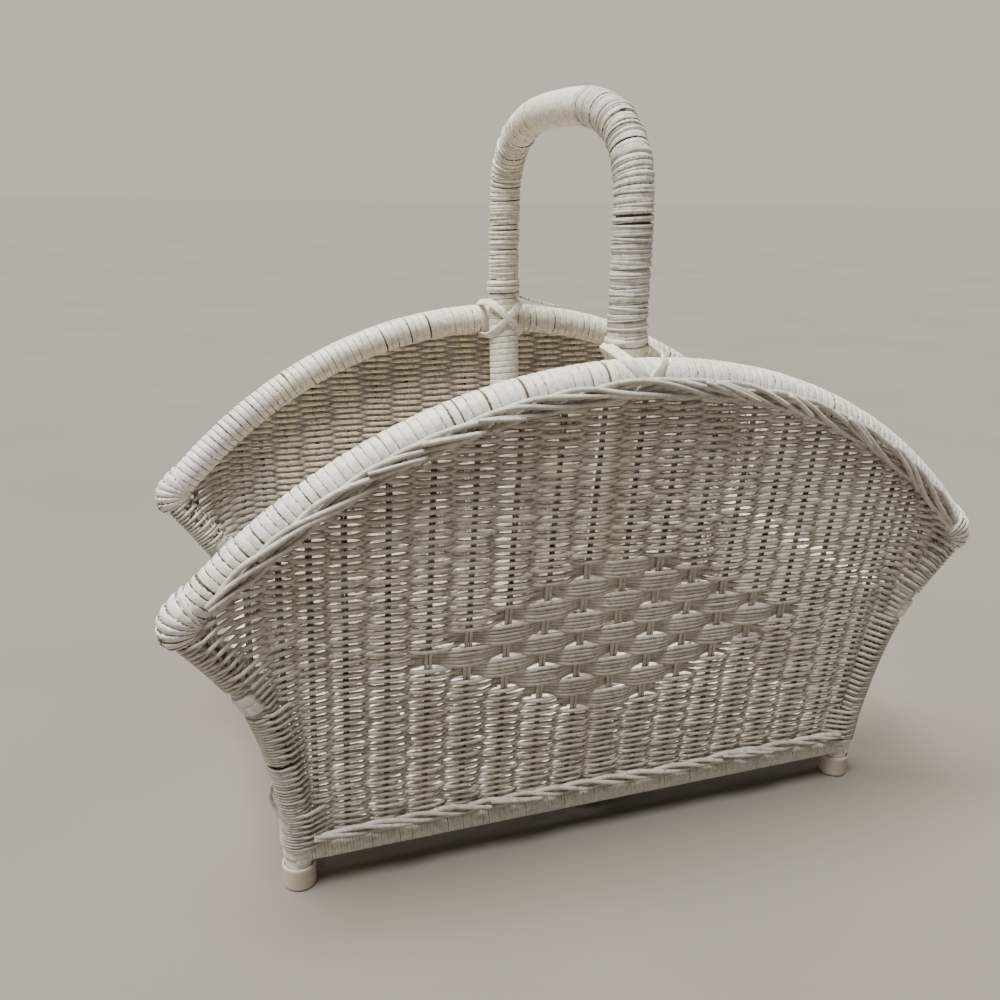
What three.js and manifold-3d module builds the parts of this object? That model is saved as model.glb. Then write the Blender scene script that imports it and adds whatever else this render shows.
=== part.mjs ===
// A white painted wicker magazine basket: two woven panels that lean outwards, held apart by rails
// and a woven floor, with one arched handle that runs down inside both panels.
// Millimetres, +Z up. The origin is on the floor under the middle of the basket and X runs along it.
// Each panel is made upright in a frame of its own, where x runs along the panel, -y points out of
// the basket and z runs up the slope, and is then leaned out and set at the front or the back.
import * as THREE from "three";
import { mergeVertices } from "three/addons/utils/BufferGeometryUtils.js";
import Module from "manifold-3d";

const wasm = await Module();
wasm.setup();

// Stance of the basket
const footHalfLength = 212; // from the middle to a post's axis, at the feet
const baseHalfDepth = 100.8; // from the middle to a panel's plane, at the floor
const leanDegrees = 6; // how far a panel leans outwards
const tipHalfLength = 274; // from the middle to the corner where a rim ends
const tipHeight = 206; // up the slope to that corner
const rimTopHeight = 338; // up the slope to the rim's axis over the middle
const rimFullnessShare = 0.18; // share of the rim's drop that comes late, towards the corners

// Poles
const rimRadius = 11.5;
const postRadius = 9.5;
const railRadius = 8.5;
const baseRailRise = 1; // from the rims of the ferrules up to the undersides of the base rails
const endRailDrop = 52; // from a corner down the slope to the axis of the rail across that end
const postFlareShares = [
  [0.0, 0.28],
  [0.085, 0.472],
  [0.19, 0.614],
  [0.34, 0.741],
  [0.62, 0.868],
  [0.93, 0.985],
]; // places on a post: share of the way from foot to corner, share of the corner's height

// Feet
const ferruleHeight = 17;
const ferruleWall = 1.2;
const ferruleFloor = 2.4;
const ferruleLip = 1; // rounding of the cup's lower edge
const footRise = 2; // a post stands upright in its ferrule and this far above it

// Handle
const handleRadius = 12;
const wrapThickness = 1.8; // cane and paint over the handle's pole
const springHeight = 83; // from the rim's axis up to where the upright legs begin to arch
const archHeight = 72; // from there up to the axis of the pole's top
const archFullness = 2.83; // exponent of the arch, 2 is an ellipse
const archSteps = 9; // rings on each half of the arch
const windingStartHeight = 2; // from a leg's bend up to where the winding's turns begin

// Winding of flat cane on each leg
const windingLoops = 24;
const windingSteps = 8; // steps in a loop
const windingPitch = 7;
const windingWidth = 6.2;
const caneThickness = 1.1;
const windingGap = 0.4; // room between the pole and its winding, because the pole bends
const coverGap = 0.8; // and from the last turn to the wrapped cane beyond it, for the same reason

// Woven panel
const weaveThickness = 7; // over the reeds where they pass a stake
const weaveWaist = 2.6; // midway between two stakes, where the reeds cross from side to side
const sheetShare = 1.5; // the sheet that the weave's faces are cut from, over their thickness
const weaveOutset = 3; // how far the weave's middle stands outside the poles, at the floor
const weaveOutsetTop = 10; // and level with the top of the rim
const sleeveThickness = 1.8; // the weavers that go round a post
const sleeveEndShare = 0.4; // how far back they stop on the post's last stretch, over its length
const weaveLap = 4.5; // from a base rail's axis up to the plate's lower edge
const sleeveGap = 0.9; // from the floor's top face up to where the weavers go round the posts

// Stakes and the diamond between them
const stakePitch = 25.7;
const stakeWidth = 5;
const stakeThickness = 2.5;
const wovenStakes = 15; // all those that stand upright, the diamond's among them
const diamondStakes = 11;
const diamondRows = 9;
const diamondHeight = 112; // all rows together
const diamondMiddle = 165; // up the slope to the middle row
const bandThickness = 2.5;
const bandGap = 0.8; // slit between two rows of the diamond
const bandFlatShare = 0.25; // share of the pitch that a band lies flat on each side of a stake
const bandOverlap = 1; // how far a band's end runs into the weave

// Borders
const rimBraidHeight = 14.4;
const rimBraidThickness = 7;
const rimBraidDrop = 2.4; // its middle lies this far under the rim's axis
const braidEndGap = 3.2; // along the rim, from a corner's cap to the end of the braid
const baseBraidRadius = 3;
const baseBraidRise = 16.5; // above the base rail's axis

// Wraps of flat cane at the joints
const capLength = 24;
const capDome = 9;
const capThickness = 1.6;
const knobThickness = 2.7; // over the end of a post
const lashingMargin = 2; // length of a post's band beyond the end rail, on each side
const lashingThickness = 2.2;
const crossWidth = 6;
const crossThickness = 1.3;
const crossGap = 1.4; // room beside the poles in a crossing, on top of what the rim bends down

// Floor of the basket
const floorInsetShare = 0.54; // from a base rail's axis in to the floor's edge, over its radius
const floorThickness = 6;

// Fits
const gap = 0.3; // clearance between two pieces that touch
const mergeDistance = 1e-3;

// Counts that set how round the pieces are
const poleSides = 10;
const rimSteps = 12;
const ferruleSides = 14;
const capSides = 8;
const crossSteps = 3; // steps round each quarter turn of a crossing strip

const lean = THREE.MathUtils.degToRad(leanDegrees);
const panelMatrix = new THREE.Matrix4().makeRotationX(lean).setPosition(0, -baseHalfDepth, 0);
const backMatrix = new THREE.Matrix4().makeRotationZ(Math.PI).multiply(panelMatrix);
const intoPanel = panelMatrix.clone().invert();
const weaveLean = Math.atan2(weaveOutsetTop - weaveOutset, rimTopHeight);
const weaveMatrix = new THREE.Matrix4().makeRotationX(weaveLean).setPosition(0, -weaveOutset, 0);
const sides = [-1, 1];

// Sizes that follow from the ones above
const baseRailHeight = ferruleHeight + baseRailRise + railRadius;
const railUpSlope = tipHeight - endRailDrop;
const endRailHeight = railUpSlope * Math.cos(lean);
const handlePoleRadius = handleRadius - wrapThickness;
const footStraight = ferruleHeight + footRise;
const sleeveRadius = postRadius + gap + sleeveThickness;
const lashingRadius = postRadius + gap + lashingThickness;
const lashingReach = railRadius + gap + lashingMargin;
const capRadius = rimRadius + gap + capThickness;
const knobRadius = postRadius + knobThickness;
const weaveBottom = baseRailHeight + weaveLap;
const floorInset = railRadius * floorInsetShare;
const floorRest = Math.sqrt((railRadius + gap) ** 2 - floorInset ** 2);
const floorBottom = baseRailHeight * Math.cos(lean) + floorRest;
const sleeveBottom = (floorBottom + floorThickness + sleeveGap) / Math.cos(lean);
const weaveNearRim = Math.max(weaveOutsetTop - weaveThickness / 2, 0);
const weaveUnderRim = Math.sqrt(Math.max((rimRadius + gap) ** 2 - weaveNearRim ** 2, 0));
const weaveTopDrop = gap + Math.max(weaveUnderRim, rimBraidDrop + rimBraidHeight / 2);

// Materials
const paintedCane = new THREE.MeshStandardMaterial({ color: 0xe6e2da, roughness: 0.5, metalness: 0 });
const paintedReed = new THREE.MeshStandardMaterial({ color: 0xd8d3c8, roughness: 0.6, metalness: 0 });
const creamPlastic = new THREE.MeshStandardMaterial({ color: 0xcfc6b2, roughness: 0.45, metalness: 0 });

// Solids that can be joined and cut
function solidOf(geometry) {
  const bare = geometry.clone();
  bare.deleteAttribute("normal");
  bare.deleteAttribute("uv");
  const merged = mergeVertices(bare, mergeDistance);
  const vertProperties = merged.getAttribute("position").array;
  const triVerts = new Uint32Array(merged.index.array);
  return new wasm.Manifold(new wasm.Mesh({ numProp: 3, vertProperties, triVerts }));
}

function geometryOf(solid) {
  const mesh = solid.getMesh();
  const geometry = new THREE.BufferGeometry();
  geometry.setAttribute("position", new THREE.BufferAttribute(mesh.vertProperties, 3));
  geometry.setIndex(new THREE.BufferAttribute(mesh.triVerts, 1));
  geometry.computeVertexNormals();
  return geometry;
}

function joined(geometries) {
  return geometryOf(geometries.map(solidOf).reduce((whole, solid) => whole.add(solid)));
}

function cut(geometry, cutters) {
  return geometryOf(cutters.map(solidOf).reduce((whole, solid) => whole.subtract(solid), solidOf(geometry)));
}

function moved(geometry, matrix) {
  return geometry.clone().applyMatrix4(matrix);
}

// A curve whose rings stand where its points stand, or at even steps between them
class PointCurve extends THREE.CatmullRomCurve3 {
  getUtoTmapping(u) {
    return u;
  }
}

function ovalShape(halfWidth, halfHeight) {
  const points = [];
  for (let side = 0; side < poleSides; side += 1) {
    const angle = (2 * Math.PI * side) / poleSides;
    points.push(new THREE.Vector2(halfWidth * Math.cos(angle), halfHeight * Math.sin(angle)));
  }
  return new THREE.Shape(points);
}

function extrudedAlong(curve, shape, steps) {
  return new THREE.ExtrudeGeometry(shape, { steps, bevelEnabled: false, extrudePath: curve });
}

function tube(curve, radius, steps) {
  return extrudedAlong(curve, ovalShape(radius, radius), steps);
}

function pointTube(points, radius) {
  return tube(new PointCurve(points), radius, points.length - 1);
}

function straightTube(from, to, radius) {
  return tube(new THREE.LineCurve3(from, to), radius, 1);
}

// A block between two opposite corners
function block(low, high) {
  const size = new THREE.Vector3().subVectors(high, low);
  const middle = new THREE.Vector3().addVectors(low, high).divideScalar(2);
  return new THREE.BoxGeometry(size.x, size.y, size.z).translate(middle.x, middle.y, middle.z);
}

// A flat outline in x and z, given its thickness along y about the panel's plane
function plate(shape, thickness) {
  const geometry = new THREE.ExtrudeGeometry(shape, { depth: thickness, bevelEnabled: false });
  return geometry.rotateX(Math.PI / 2).translate(0, thickness / 2, 0);
}

// The rim's axis over a place along the panel, and how steeply it runs there
function rimHeight(x) {
  const u = x / tipHalfLength;
  const fall = (1 - rimFullnessShare) * u ** 2 + rimFullnessShare * u ** 4;
  return rimTopHeight - (rimTopHeight - tipHeight) * fall;
}

function rimSlope(x) {
  const u = x / tipHalfLength;
  const steepness = 2 * (1 - rimFullnessShare) * u + 4 * rimFullnessShare * u ** 3;
  return (-(rimTopHeight - tipHeight) / tipHalfLength) * steepness;
}

// A line that follows the rim at a distance below its axis and outside it
class RimLine extends THREE.Curve {
  constructor(halfSpan, below = 0, outside = 0) {
    super();
    this.halfSpan = halfSpan;
    this.below = below;
    this.outside = outside;
  }

  getPoint(t, target = new THREE.Vector3()) {
    const x = THREE.MathUtils.lerp(-this.halfSpan, this.halfSpan, t);
    const slope = rimSlope(x);
    const reach = this.below / Math.hypot(1, slope);
    return target.set(x + reach * slope, -this.outside, rimHeight(x) - reach);
  }
}

function rim(grow = 0) {
  return tube(new RimLine(tipHalfLength + grow), rimRadius + grow, rimSteps);
}

function rimBraid(grow = 0) {
  const outside = rimRadius + gap + rimBraidThickness / 2;
  const end = (capLength + braidEndGap) / Math.hypot(1, rimSlope(tipHalfLength));
  const line = new RimLine(tipHalfLength - end + grow, rimBraidDrop, outside);
  const shape = ovalShape(rimBraidThickness / 2 + grow, rimBraidHeight / 2 + grow);
  return extrudedAlong(line, shape, rimSteps);
}

// A post's axis: upright in its ferrule, then up the panel's plane and out to the corner
const footPlace = new THREE.Vector3(0, 0, footStraight).applyMatrix4(panelMatrix);

function postPoints(side) {
  const foot = [ferruleFloor + gap, footStraight].map((height) =>
    new THREE.Vector3(side * footHalfLength, footPlace.y, height).applyMatrix4(intoPanel),
  );
  const flare = postFlareShares.map(([outShare, heightShare]) => {
    const x = THREE.MathUtils.lerp(footHalfLength, tipHalfLength, outShare);
    return new THREE.Vector3(side * x, 0, heightShare * tipHeight);
  });
  return [...foot, ...flare];
}

function post(side, radius = postRadius + gap) {
  return pointTube(postPoints(side), radius);
}

// The place on a post's axis at a height up the slope
function postPlace(side, height) {
  const points = postPoints(side);
  const above = points.findIndex((place) => place.z > height);
  const below = points[above - 1];
  return below.lerp(points[above], (height - below.z) / (points[above].z - below.z));
}

// Base rail between the two posts of a panel, and the braid that covers the weave's lower edge
function baseRail(radius = railRadius + gap) {
  const end = new THREE.Vector3(footHalfLength, 0, baseRailHeight);
  return straightTube(end.clone().setX(-footHalfLength), end, radius);
}

function baseBraid(grow = 0) {
  const height = baseRailHeight + baseBraidRise;
  const outside = weaveOutset + Math.tan(weaveLean) * height + weaveThickness / 2 + gap + baseBraidRadius;
  const end = new THREE.Vector3(footHalfLength - sleeveRadius, -outside, height);
  return straightTube(end.clone().setX(-end.x), end, baseBraidRadius + grow);
}

// Handle: one pole along an arch, whose legs pass inside the rims and lean with the panels. They
// turn upright just above the strips that hold them to the rims.
const legInset = rimRadius + handleRadius + gap;
const crossSlack = crossGap + rimTopHeight - rimHeight(rimRadius + crossWidth);
const crossReach = handleRadius + crossSlack + (crossThickness + crossWidth) * Math.SQRT1_2;
const legBend = new THREE.Vector3(0, legInset, rimTopHeight + crossReach + gap);
const bendPlace = legBend.applyMatrix4(panelMatrix);
const windingStart = bendPlace.z + windingStartHeight;
const archStart = rimTopHeight + springHeight;

function archHalf() {
  const points = [new THREE.Vector3(0, bendPlace.y, windingStart)];
  for (let step = 0; step <= archSteps; step += 1) {
    const angle = (Math.PI / 2) * (step / archSteps);
    const y = bendPlace.y * Math.max(Math.cos(angle), 0) ** (2 / archFullness);
    const rise = archHeight * Math.sin(angle) ** (2 / archFullness);
    points.push(new THREE.Vector3(0, y, archStart + rise));
  }
  points[archSteps + 1].y = 0;
  return points;
}

function mirroredBack(points) {
  return points.map((point) => new THREE.Vector3(0, -point.y, point.z)).reverse();
}

// The arch's axis as straight stretches between its rings, by distance from the winding's start
const archPoints = archHalf();
const archLengths = [0];
for (let ring = 1; ring < archPoints.length; ring += 1) {
  archLengths.push(archLengths[ring - 1] + archPoints[ring].distanceTo(archPoints[ring - 1]));
}

function archNormal(ring) {
  const before = archPoints[Math.max(ring - 1, 0)];
  const after = archPoints[Math.min(ring + 1, archPoints.length - 1)];
  return new THREE.Vector3(0, after.z - before.z, before.y - after.y).normalize();
}

// A point on a tube round the arch's axis
function archSurface(distance, angle, radius) {
  const ring = archLengths.findIndex((length) => length > distance) - 1;
  const share = (distance - archLengths[ring]) / (archLengths[ring + 1] - archLengths[ring]);
  const centre = archPoints[ring].clone().lerp(archPoints[ring + 1], share);
  const normal = archNormal(ring).lerp(archNormal(ring + 1), share).normalize();
  const sideways = new THREE.Vector3(radius * Math.sin(angle), 0, 0);
  return centre.addScaledVector(normal, radius * Math.cos(angle)).add(sideways);
}

// One flat strip of cane wound round a leg: rings of four corners joined into an unbroken tube
const windingInner = (handlePoleRadius + windingGap) / Math.cos(Math.PI / windingSteps);
const windingOuter = windingInner + caneThickness;
const windingReach = windingLoops * windingPitch + windingWidth;

function winding() {
  const corners = [
    [windingInner, 0],
    [windingInner, windingWidth],
    [windingOuter, windingWidth],
    [windingOuter, 0],
  ];
  const rings = windingLoops * windingSteps + 1;
  const positions = [];
  for (let ring = 0; ring < rings; ring += 1) {
    const turn = ring / windingSteps;
    for (const [radius, along] of corners) {
      positions.push(...archSurface(turn * windingPitch + along, 2 * Math.PI * turn, radius));
    }
  }
  const faces = [0, 1, 2, 0, 2, 3];
  const end = (rings - 1) * corners.length;
  faces.push(end, end + 2, end + 1, end, end + 3, end + 2);
  for (let here = 0; here < end; here += corners.length) {
    const there = here + corners.length;
    for (let side = 0; side < corners.length; side += 1) {
      const next = (side + 1) % corners.length;
      faces.push(here + side, there + side, here + next, there + side, there + next, here + next);
    }
  }
  const geometry = new THREE.BufferGeometry();
  geometry.setAttribute("position", new THREE.Float32BufferAttribute(positions, 3));
  geometry.setIndex(faces);
  geometry.computeVertexNormals();
  return geometry;
}

// The least distance from a turn's edge to the next turn's, measured on points
function leastWindingGap() {
  let least = Infinity;
  for (let ring = 0; ring < (windingLoops - 1) * windingSteps; ring += 1) {
    const turn = ring / windingSteps;
    for (const radius of [windingInner, windingOuter]) {
      const edge = archSurface(turn * windingPitch + windingWidth, 2 * Math.PI * turn, radius);
      const next = archSurface((turn + 1) * windingPitch, 2 * Math.PI * turn, radius);
      least = Math.min(least, edge.distanceTo(next));
    }
  }
  return least;
}

console.log(`least gap between turns of a handle winding: ${leastWindingGap().toFixed(2)} mm`);

// The pole is thinner under its windings and has its full wrapped size everywhere else. Its legs
// end level with the undersides of the base rails.
function handle(grow = 0) {
  const legFoot = new THREE.Vector3(0, legInset, baseRailHeight - railRadius).applyMatrix4(panelMatrix);
  const lower = [legFoot, bendPlace];
  const front = [...lower, ...archPoints];
  const core = pointTube([...front, ...mirroredBack(front.slice(0, -1))], handlePoleRadius + grow);
  const leg = [...lower, archPoints[0].clone().setZ(windingStart - gap)];
  const coverStart = windingReach + coverGap;
  const topHalf = archPoints.filter((point, ring) => archLengths[ring] > coverStart + gap);
  topHalf.unshift(archSurface(coverStart, 0, 0));
  const top = [...topHalf, ...mirroredBack(topHalf.slice(0, -1))];
  const covers = [leg, mirroredBack(leg), top].map((points) => pointTube(points, handleRadius + grow));
  return joined([core, ...covers]);
}

// Two flat strips that cross over the handle's leg and the rim, and hold them together: each goes
// round both poles on the slant, so its half turns are ovals with a flat as wide as the strip
function crossOutline(reach) {
  const points = [];
  for (let quarter = 0; quarter < 4; quarter += 1) {
    const [start, radius] = quarter < 2 ? [legInset, handleRadius] : [0, rimRadius];
    const flat = quarter % 3 === 0 ? crossWidth / 2 : -crossWidth / 2;
    const wide = (radius + crossSlack) * Math.SQRT2 + reach;
    const deep = radius + gap + reach;
    for (let step = 0; step <= crossSteps; step += 1) {
      const angle = (Math.PI / 2) * (quarter + step / crossSteps);
      points.push(new THREE.Vector2(flat + wide * Math.cos(angle), start + deep * Math.sin(angle)));
    }
  }
  return points;
}

function crossLashing(grow = 0) {
  const shape = new THREE.Shape(crossOutline(crossThickness + grow));
  shape.holes.push(new THREE.Path(crossOutline(-grow)));
  const width = crossWidth + 2 * grow;
  const strip = new THREE.ExtrudeGeometry(shape, { depth: width, bevelEnabled: false });
  strip.translate(0, 0, -width / 2);
  const strips = sides.map((side) =>
    strip.clone().rotateY((side * Math.PI) / 4).translate(0, 0, rimTopHeight),
  );
  return joined(strips);
}

// Fan of cane over a corner: a thimble on the end of the rim and a knob over the end of the post
function cornerCap(side, grow = 0) {
  const profile = [
    new THREE.Vector2(0, -capLength - grow),
    new THREE.Vector2(capRadius + grow, -capLength - grow),
    new THREE.Vector2(capRadius + grow, 0),
    new THREE.Vector2(0, capDome + grow),
  ];
  const outward = new THREE.Vector3(side, 0, side * rimSlope(side * tipHalfLength)).normalize();
  const turn = new THREE.Quaternion().setFromUnitVectors(new THREE.Vector3(0, 1, 0), outward);
  const tip = new THREE.Vector3(side * tipHalfLength, 0, tipHeight);
  const place = new THREE.Matrix4().compose(tip, turn, new THREE.Vector3(1, 1, 1));
  const thimble = new THREE.LatheGeometry(profile, capSides).applyMatrix4(place);
  const end = postPoints(side).pop();
  const knob = new THREE.SphereGeometry(knobRadius + grow, capSides, capSides / 2);
  return joined([thimble, knob.translate(end.x, end.y, end.z)]);
}

// Rail across an end of the basket, in the part's own frame
const endRailReach = postPlace(1, railUpSlope).x;

function endRail(side, radius = railRadius + gap) {
  const depth = baseHalfDepth + Math.tan(lean) * endRailHeight;
  const end = new THREE.Vector3(side * endRailReach, depth, endRailHeight);
  return straightTube(end.clone().setY(-depth), end, radius);
}

// Band of cane round a post where the end rail meets it
function railLashing(side, grow = 0) {
  const low = railUpSlope - lashingReach - grow;
  const high = railUpSlope + lashingReach + grow;
  const between = postPoints(side).filter((place) => place.z > low && place.z < high);
  const points = [postPlace(side, low), ...between, postPlace(side, high)];
  return pointTube(points, lashingRadius + grow);
}

// Stakes stand upright in the middle of the weave
function stake(column, grow = 0) {
  const x = column * stakePitch;
  const low = new THREE.Vector3(x - stakeWidth / 2 - grow, -stakeThickness / 2 - grow, weaveBottom - grow);
  const high = new THREE.Vector3(x + stakeWidth / 2 + grow, stakeThickness / 2 + grow, rimHeight(x));
  return moved(block(low, high), weaveMatrix);
}

const lastColumn = (diamondStakes - 1) / 2;
const columns = Array.from({ length: diamondStakes }, (_, index) => index - lastColumn);

// The diamond: rows of reeds that pass over and under the stakes as flat bands, widest in the middle
const rowHeight = diamondHeight / diamondRows;
const middleRow = (diamondRows - 1) / 2;

function rowColumns(row) {
  const reach = lastColumn - Math.abs(row - middleRow);
  return columns.filter((column) => Math.abs(column) <= reach);
}

function rowLow(row) {
  return diamondMiddle + (row - middleRow - 1 / 2) * rowHeight;
}

function diamondHole(row) {
  const reach = (rowColumns(row).length / 2) * stakePitch;
  const low = new THREE.Vector3(-reach, -weaveThickness, rowLow(row));
  return block(low, new THREE.Vector3(reach, weaveThickness, rowLow(row) + rowHeight));
}

function diamondBand(row) {
  const inRow = rowColumns(row);
  const reach = (inRow.length / 2) * stakePitch + bandOverlap;
  const lift = stakeThickness / 2 + gap + bandThickness / 2;
  const line = [new THREE.Vector2(-reach, 0)];
  inRow.forEach((column, index) => {
    const depth = index % 2 === 0 ? lift : -lift;
    for (const side of sides) {
      line.push(new THREE.Vector2((column + side * bandFlatShare) * stakePitch, depth));
    }
  });
  line.push(new THREE.Vector2(reach, 0));
  const edge = (offset) => line.map((point) => new THREE.Vector2(point.x, point.y + offset));
  const shape = new THREE.Shape([...edge(-bandThickness / 2), ...edge(bandThickness / 2).reverse()]);
  const band = new THREE.ExtrudeGeometry(shape, { depth: rowHeight - bandGap, bevelEnabled: false });
  return band.translate(0, 0, rowLow(row) + bandGap / 2);
}

// What is cut from the outer or inner face of the weave: a comb that leaves the full thickness at
// each stake and past the last one, and the waist midway between two
function weaveComb(face) {
  const half = weaveThickness / 2;
  const line = [[-tipHalfLength, half]];
  for (let place = 0; place < wovenStakes; place += 1) {
    const x = (place - (wovenStakes - 1) / 2) * stakePitch;
    line.push([x, half], [x + stakePitch / 2, weaveWaist / 2]);
  }
  line[line.length - 1] = [tipHalfLength, half];
  const points = [[-tipHalfLength, weaveThickness], ...line, [tipHalfLength, weaveThickness]];
  const shape = new THREE.Shape(points.map(([x, depth]) => new THREE.Vector2(x, face * depth)));
  return new THREE.ExtrudeGeometry(shape, { depth: rimTopHeight, bevelEnabled: false });
}

// The woven plate, its diamond and the weavers that go round both posts, as one piece
function weaveOutline() {
  const shape = new THREE.Shape();
  const underRim = new RimLine(tipHalfLength, weaveTopDrop);
  const side = postPoints(1).filter((place) => place.z > sleeveBottom);
  shape.moveTo(-footHalfLength, weaveBottom);
  shape.lineTo(footHalfLength, weaveBottom);
  side.forEach((place) => shape.lineTo(place.x, place.z));
  for (let step = 1; step < rimSteps; step += 1) {
    const place = underRim.getPoint(1 - step / rimSteps);
    shape.lineTo(place.x, place.z);
  }
  side.reverse().forEach((place) => shape.lineTo(-place.x, place.z));
  return shape;
}

function sleevePoints(side) {
  const points = postPoints(side);
  const start = points.findIndex((place) => place.z > sleeveBottom);
  const end = points[points.length - 1].lerp(points[points.length - 2], sleeveEndShare);
  return [postPlace(side, sleeveBottom), ...points.slice(start, -1), end];
}

function panelWeave() {
  const rows = Array.from({ length: diamondRows }, (_, row) => row);
  const sheet = plate(weaveOutline(), weaveThickness * sheetShare);
  const holed = cut(sheet, [...rows.map(diamondHole), ...sides.map(weaveComb)]);
  const slotted = cut(moved(holed, weaveMatrix), columns.map((column) => stake(column, gap)));
  const bands = rows.map((row) => moved(diamondBand(row), weaveMatrix));
  const woven = joined([slotted, ...bands]);
  const sleeves = sides.map((side) => pointTube(sleevePoints(side), sleeveRadius));
  const cutters = [rim(gap), baseRail(), crossLashing(gap)];
  for (const side of sides) {
    cutters.push(post(side), cornerCap(side, gap), railLashing(side, gap));
    cutters.push(moved(endRail(side), intoPanel));
  }
  return cut(joined([woven, ...sleeves]), cutters);
}

// Everything in a panel, by the name it has there
function panelPieces() {
  const pieces = [
    ["rim", rim(), paintedCane],
    ["rim_braid", cut(rimBraid(), [crossLashing(gap)]), paintedReed],
    ["base_rail", cut(baseRail(railRadius), sides.map((side) => post(side))), paintedCane],
    ["base_braid", baseBraid(), paintedReed],
    ["handle_lashing", crossLashing(), paintedCane],
    ["weave", panelWeave(), paintedReed],
  ];
  columns.forEach((column, index) => {
    const bar = cut(stake(column), [rim(gap), rimBraid(gap), baseRail(), crossLashing(gap)]);
    pieces.push([`stake_${index + 1}`, bar, paintedReed]);
  });
  return pieces;
}

// What a panel has at each of its two ends
function endPieces(side) {
  return [
    ["post", cut(post(side, postRadius), [rim(gap)]), paintedCane],
    ["corner_cap", cut(cornerCap(side), [rim(gap), post(side)]), paintedCane],
    ["rail_lashing", cut(railLashing(side), [post(side), moved(endRail(side), intoPanel)]), paintedCane],
  ];
}

function named(name, geometry, material) {
  const mesh = new THREE.Mesh(geometry, material.clone());
  mesh.name = name;
  return mesh;
}

const basket = new THREE.Group();

// The two panels are alike: the back one is the front one turned half round
const pieces = panelPieces();
for (const [place, matrix, turned] of [
  ["front", panelMatrix, 1],
  ["back", backMatrix, -1],
]) {
  const panel = new THREE.Group();
  panel.applyMatrix4(matrix);
  pieces.forEach(([name, geometry, material]) => panel.add(named(`${place}_${name}`, geometry, material)));
  for (const side of sides) {
    const end = side * turned < 0 ? "left" : "right";
    endPieces(side).forEach(([name, geometry, material]) =>
      panel.add(named(`${place}_${end}_${name}`, geometry, material)),
    );
  }
  basket.add(panel);
}

const posts = [panelMatrix, backMatrix].flatMap((matrix) => sides.map((side) => moved(post(side), matrix)));
const baseRails = [panelMatrix, backMatrix].map((matrix) => moved(baseRail(), matrix));
const railPlace = new THREE.Vector3(0, 0, baseRailHeight).applyMatrix4(panelMatrix);

// Rails that join the two panels at each end, at the base and at half height
for (const side of sides) {
  const end = side < 0 ? "left" : "right";
  const corner = new THREE.Vector3(side * footHalfLength, railPlace.y, railPlace.z);
  const lowRail = straightTube(corner, corner.clone().setY(-corner.y), railRadius);
  basket.add(named(`${end}_base_rail`, cut(lowRail, [...posts, ...baseRails]), paintedCane));
  basket.add(named(`${end}_end_rail`, cut(endRail(side, railRadius), posts), paintedCane));
}

// Cups on the feet
function ferrule() {
  const inner = (postRadius + gap) / Math.cos(Math.PI / ferruleSides);
  const outer = postRadius + gap + ferruleWall;
  const profile = [
    new THREE.Vector2(0, 0),
    new THREE.Vector2(outer - ferruleLip, 0),
    new THREE.Vector2(outer, ferruleLip),
    new THREE.Vector2(outer, ferruleHeight),
    new THREE.Vector2(inner, ferruleHeight),
    new THREE.Vector2(inner, ferruleFloor),
    new THREE.Vector2(0, ferruleFloor),
  ];
  return new THREE.LatheGeometry(profile, ferruleSides).rotateX(Math.PI / 2);
}

for (const [place, depth] of [
  ["front", footPlace.y],
  ["back", -footPlace.y],
]) {
  for (const side of sides) {
    const cup = named(`${place}_${side < 0 ? "left" : "right"}_ferrule`, ferrule(), creamPlastic);
    cup.position.set(side * footHalfLength, depth, 0);
    basket.add(cup);
  }
}

// Handle and its two windings
basket.add(named("handle", handle(), paintedCane));
basket.add(named("front_handle_winding", winding(), paintedCane));
const backWinding = named("back_handle_winding", winding(), paintedCane);
backWinding.rotation.z = Math.PI;
basket.add(backWinding);

// Floor, which rests on the four base rails and lets the handle's legs through
function basketFloor() {
  const high = new THREE.Vector3(footHalfLength - floorInset, -railPlace.y - floorInset, floorBottom);
  const low = new THREE.Vector3(-high.x, -high.y, floorBottom);
  return cut(block(low, high.setZ(floorBottom + floorThickness)), [...posts, handle(gap)]);
}

basket.add(named("floor", basketFloor(), paintedReed));

export default basket;
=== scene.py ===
import math

import bpy
import numpy as np
from mathutils import Matrix, Vector


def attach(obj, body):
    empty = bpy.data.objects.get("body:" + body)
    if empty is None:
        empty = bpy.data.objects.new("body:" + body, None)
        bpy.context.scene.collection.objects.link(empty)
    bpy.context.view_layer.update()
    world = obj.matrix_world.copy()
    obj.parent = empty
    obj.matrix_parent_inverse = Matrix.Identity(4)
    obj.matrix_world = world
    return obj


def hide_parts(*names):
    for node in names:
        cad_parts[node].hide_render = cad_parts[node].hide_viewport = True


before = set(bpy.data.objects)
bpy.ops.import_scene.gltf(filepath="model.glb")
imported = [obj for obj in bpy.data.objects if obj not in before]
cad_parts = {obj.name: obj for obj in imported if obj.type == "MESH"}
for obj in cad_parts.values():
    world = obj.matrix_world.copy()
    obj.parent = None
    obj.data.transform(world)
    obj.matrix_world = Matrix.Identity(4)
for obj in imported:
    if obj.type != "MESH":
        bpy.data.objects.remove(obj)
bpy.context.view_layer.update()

# A white painted wicker magazine basket. Sizes are in millimetres, and mesh_of makes them metres.
# A panel's own frame has x along the basket, -y outwards and z up the slope.
MM = 0.001
rng = np.random.default_rng(11)
SIDES = (-1, 1)
ALONG = (1, 0, 0)
BACKWARDS = (0, 1, 0)
UPWARDS = (0, 0, 1)
FULL_TURN = 6.28

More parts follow.
